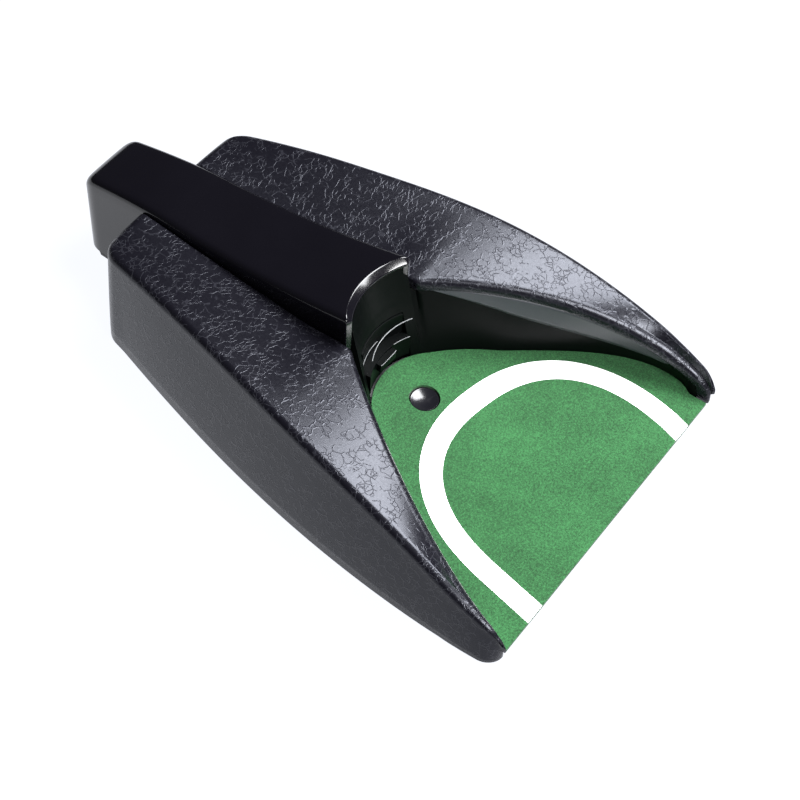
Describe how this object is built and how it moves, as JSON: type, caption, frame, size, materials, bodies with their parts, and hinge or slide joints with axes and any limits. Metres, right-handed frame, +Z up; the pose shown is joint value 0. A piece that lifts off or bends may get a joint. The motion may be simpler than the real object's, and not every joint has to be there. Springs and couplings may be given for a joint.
{
  "type": "automatic putting cup",
  "caption": "Automatic ball-return putting cup: a felt ramp with a ball trigger and a sprung kicker between two swept textured wings, with its drive housing behind.",
  "frame": {"origin": "middle of the part's footprint, on the surface it stands on", "axes": "+X to the part's right as a ball rolls in, +Y from the open front towards the drive housing at the back, +Z up"},
  "size_m": [0.2012, 0.3124, 0.0754],
  "materials": {
    "grained_black_plastic": "satin moulded grain",
    "smooth_black_plastic": "satin gloss",
    "liner_black_plastic": "gloss",
    "dull_black_plastic": "matte",
    "green_felt": "short felt pile",
    "white_felt": "fine felt",
    "button_black_plastic": "gloss",
    "black_rubber": "matte",
    "spring_steel": "drawn",
    "bronze_bush": "sintered",
    "brass": "machined",
    "natural_nylon": "semi matte",
    "white_acetal": "semi matte",
    "battery_wrap": "printed film, no print",
    "circuit_board": "solder mask"
  },
  "bodies": {
    "housing": {"left_wing_shell": "grained_black_plastic", "right_wing_shell": "grained_black_plastic", "tunnel_cover": "smooth_black_plastic", "cup_liner": "liner_black_plastic", "base_plate": "dull_black_plastic", "ramp_plate": "dull_black_plastic", "putting_mat": "green_felt", "ring_inlay": "white_felt", "trigger_spring": "spring_steel", "trigger_switch": "natural_nylon", "left_kicker_spring": "spring_steel", "right_kicker_spring": "spring_steel", "left_guide_bush": "bronze_bush", "right_guide_bush": "bronze_bush", "guide_bracket": "dull_black_plastic", "sector_axle": "spring_steel", "second_axle": "spring_steel", "first_axle": "spring_steel", "left_gearbox_plate": "dull_black_plastic", "right_gearbox_plate": "dull_black_plastic", "motor_can": "spring_steel", "motor_end_cap": "natural_nylon", "battery_holder": "dull_black_plastic", "battery_1": "battery_wrap", "battery_2": "battery_wrap", "battery_spring_1": "spring_steel", "battery_spring_2": "spring_steel", "battery_contact_1": "spring_steel", "battery_contact_2": "spring_steel", "control_board": "circuit_board", "board_relay": "dull_black_plastic", "board_capacitor": "spring_steel", "power_switch_body": "spring_steel", "wing_screw_1": "spring_steel", "rubber_foot_1": "black_rubber", "wing_screw_2": "spring_steel", "rubber_foot_2": "black_rubber", "wing_screw_3": "spring_steel", "rubber_foot_3": "black_rubber", "wing_screw_4": "spring_steel", "rubber_foot_4": "black_rubber", "gearbox_screw_1": "spring_steel", "gearbox_screw_2": "spring_steel", "gearbox_screw_3": "spring_steel", "ramp_screw_1": "spring_steel", "cover_screw_1": "spring_steel", "ramp_screw_2": "spring_steel", "cover_screw_2": "spring_steel"},
    "kicker": {"kicker_paddle": "smooth_black_plastic", "kicker_rack": "natural_nylon", "left_guide_rod": "spring_steel", "right_guide_rod": "spring_steel"},
    "sector_wheel": {"sector_gear": "white_acetal"},
    "second_reduction": {"second_gear": "natural_nylon"},
    "first_reduction": {"first_gear": "white_acetal"},
    "motor_shaft": {"motor_pinion": "brass"},
    "button": {"trigger_button": "button_black_plastic"},
    "switch_knob": {"power_switch_knob": "dull_black_plastic"},
    "battery_lid": {"battery_door": "dull_black_plastic"}
  },
  "joints": [
    {"name": "kicker_slide", "type": "slide", "parent": "housing", "child": "kicker", "axis": [0, 1, 0], "range_m": [-0.01, 0.022], "stiffness_N_per_m": 400, "deforming": ["left_kicker_spring", "right_kicker_spring"]},
    {"name": "sector_turn", "type": "hinge", "parent": "housing", "child": "sector_wheel", "pos_m": [0, 0.04875, 0.034], "axis": [1, 0, 0], "range_deg": [-48.53, 106.17]},
    {"name": "second_turn", "type": "hinge", "parent": "housing", "child": "second_reduction", "pos_m": [0, 0.06754, 0.04084], "axis": [1, 0, 0], "range_deg": [-423.19, 192.63]},
    {"name": "first_turn", "type": "hinge", "parent": "housing", "child": "first_reduction", "pos_m": [0, 0.08348, 0.03164], "axis": [1, 0, 0], "range_deg": [-692.17, 1522.18]},
    {"name": "motor_turn", "type": "hinge", "parent": "housing", "child": "motor_shaft", "pos_m": [0.008, 0.10121, 0.02851], "axis": [1, 0, 0], "range_deg": [-6087.24, 2767.2]},
    {"name": "button_press", "type": "slide", "parent": "housing", "child": "button", "axis": [0, 0, -1], "range_m": [0, 0.0011], "stiffness_N_per_m": 300, "springref_m": -0.0005, "deforming": ["trigger_spring"]},
    {"name": "switch_slide", "type": "slide", "parent": "housing", "child": "switch_knob", "axis": [1, 0, 0], "range_m": [0, 0.0036]},
    {"name": "battery_lid_hinge", "type": "hinge", "parent": "housing", "child": "battery_lid", "pos_m": [-0.0429, 0.07295, 0.0021], "axis": [1, 0, 0], "range_deg": [0, 100]}
  ],
  "couplings": [
    {"joint": "sector_turn", "follows": "kicker_slide", "rad_per_m": 83.333},
    {"joint": "second_turn", "follows": "kicker_slide", "rad_per_m": -333.33},
    {"joint": "first_turn", "follows": "kicker_slide", "rad_per_m": 1200},
    {"joint": "motor_turn", "follows": "kicker_slide", "rad_per_m": -4800}
  ]
}
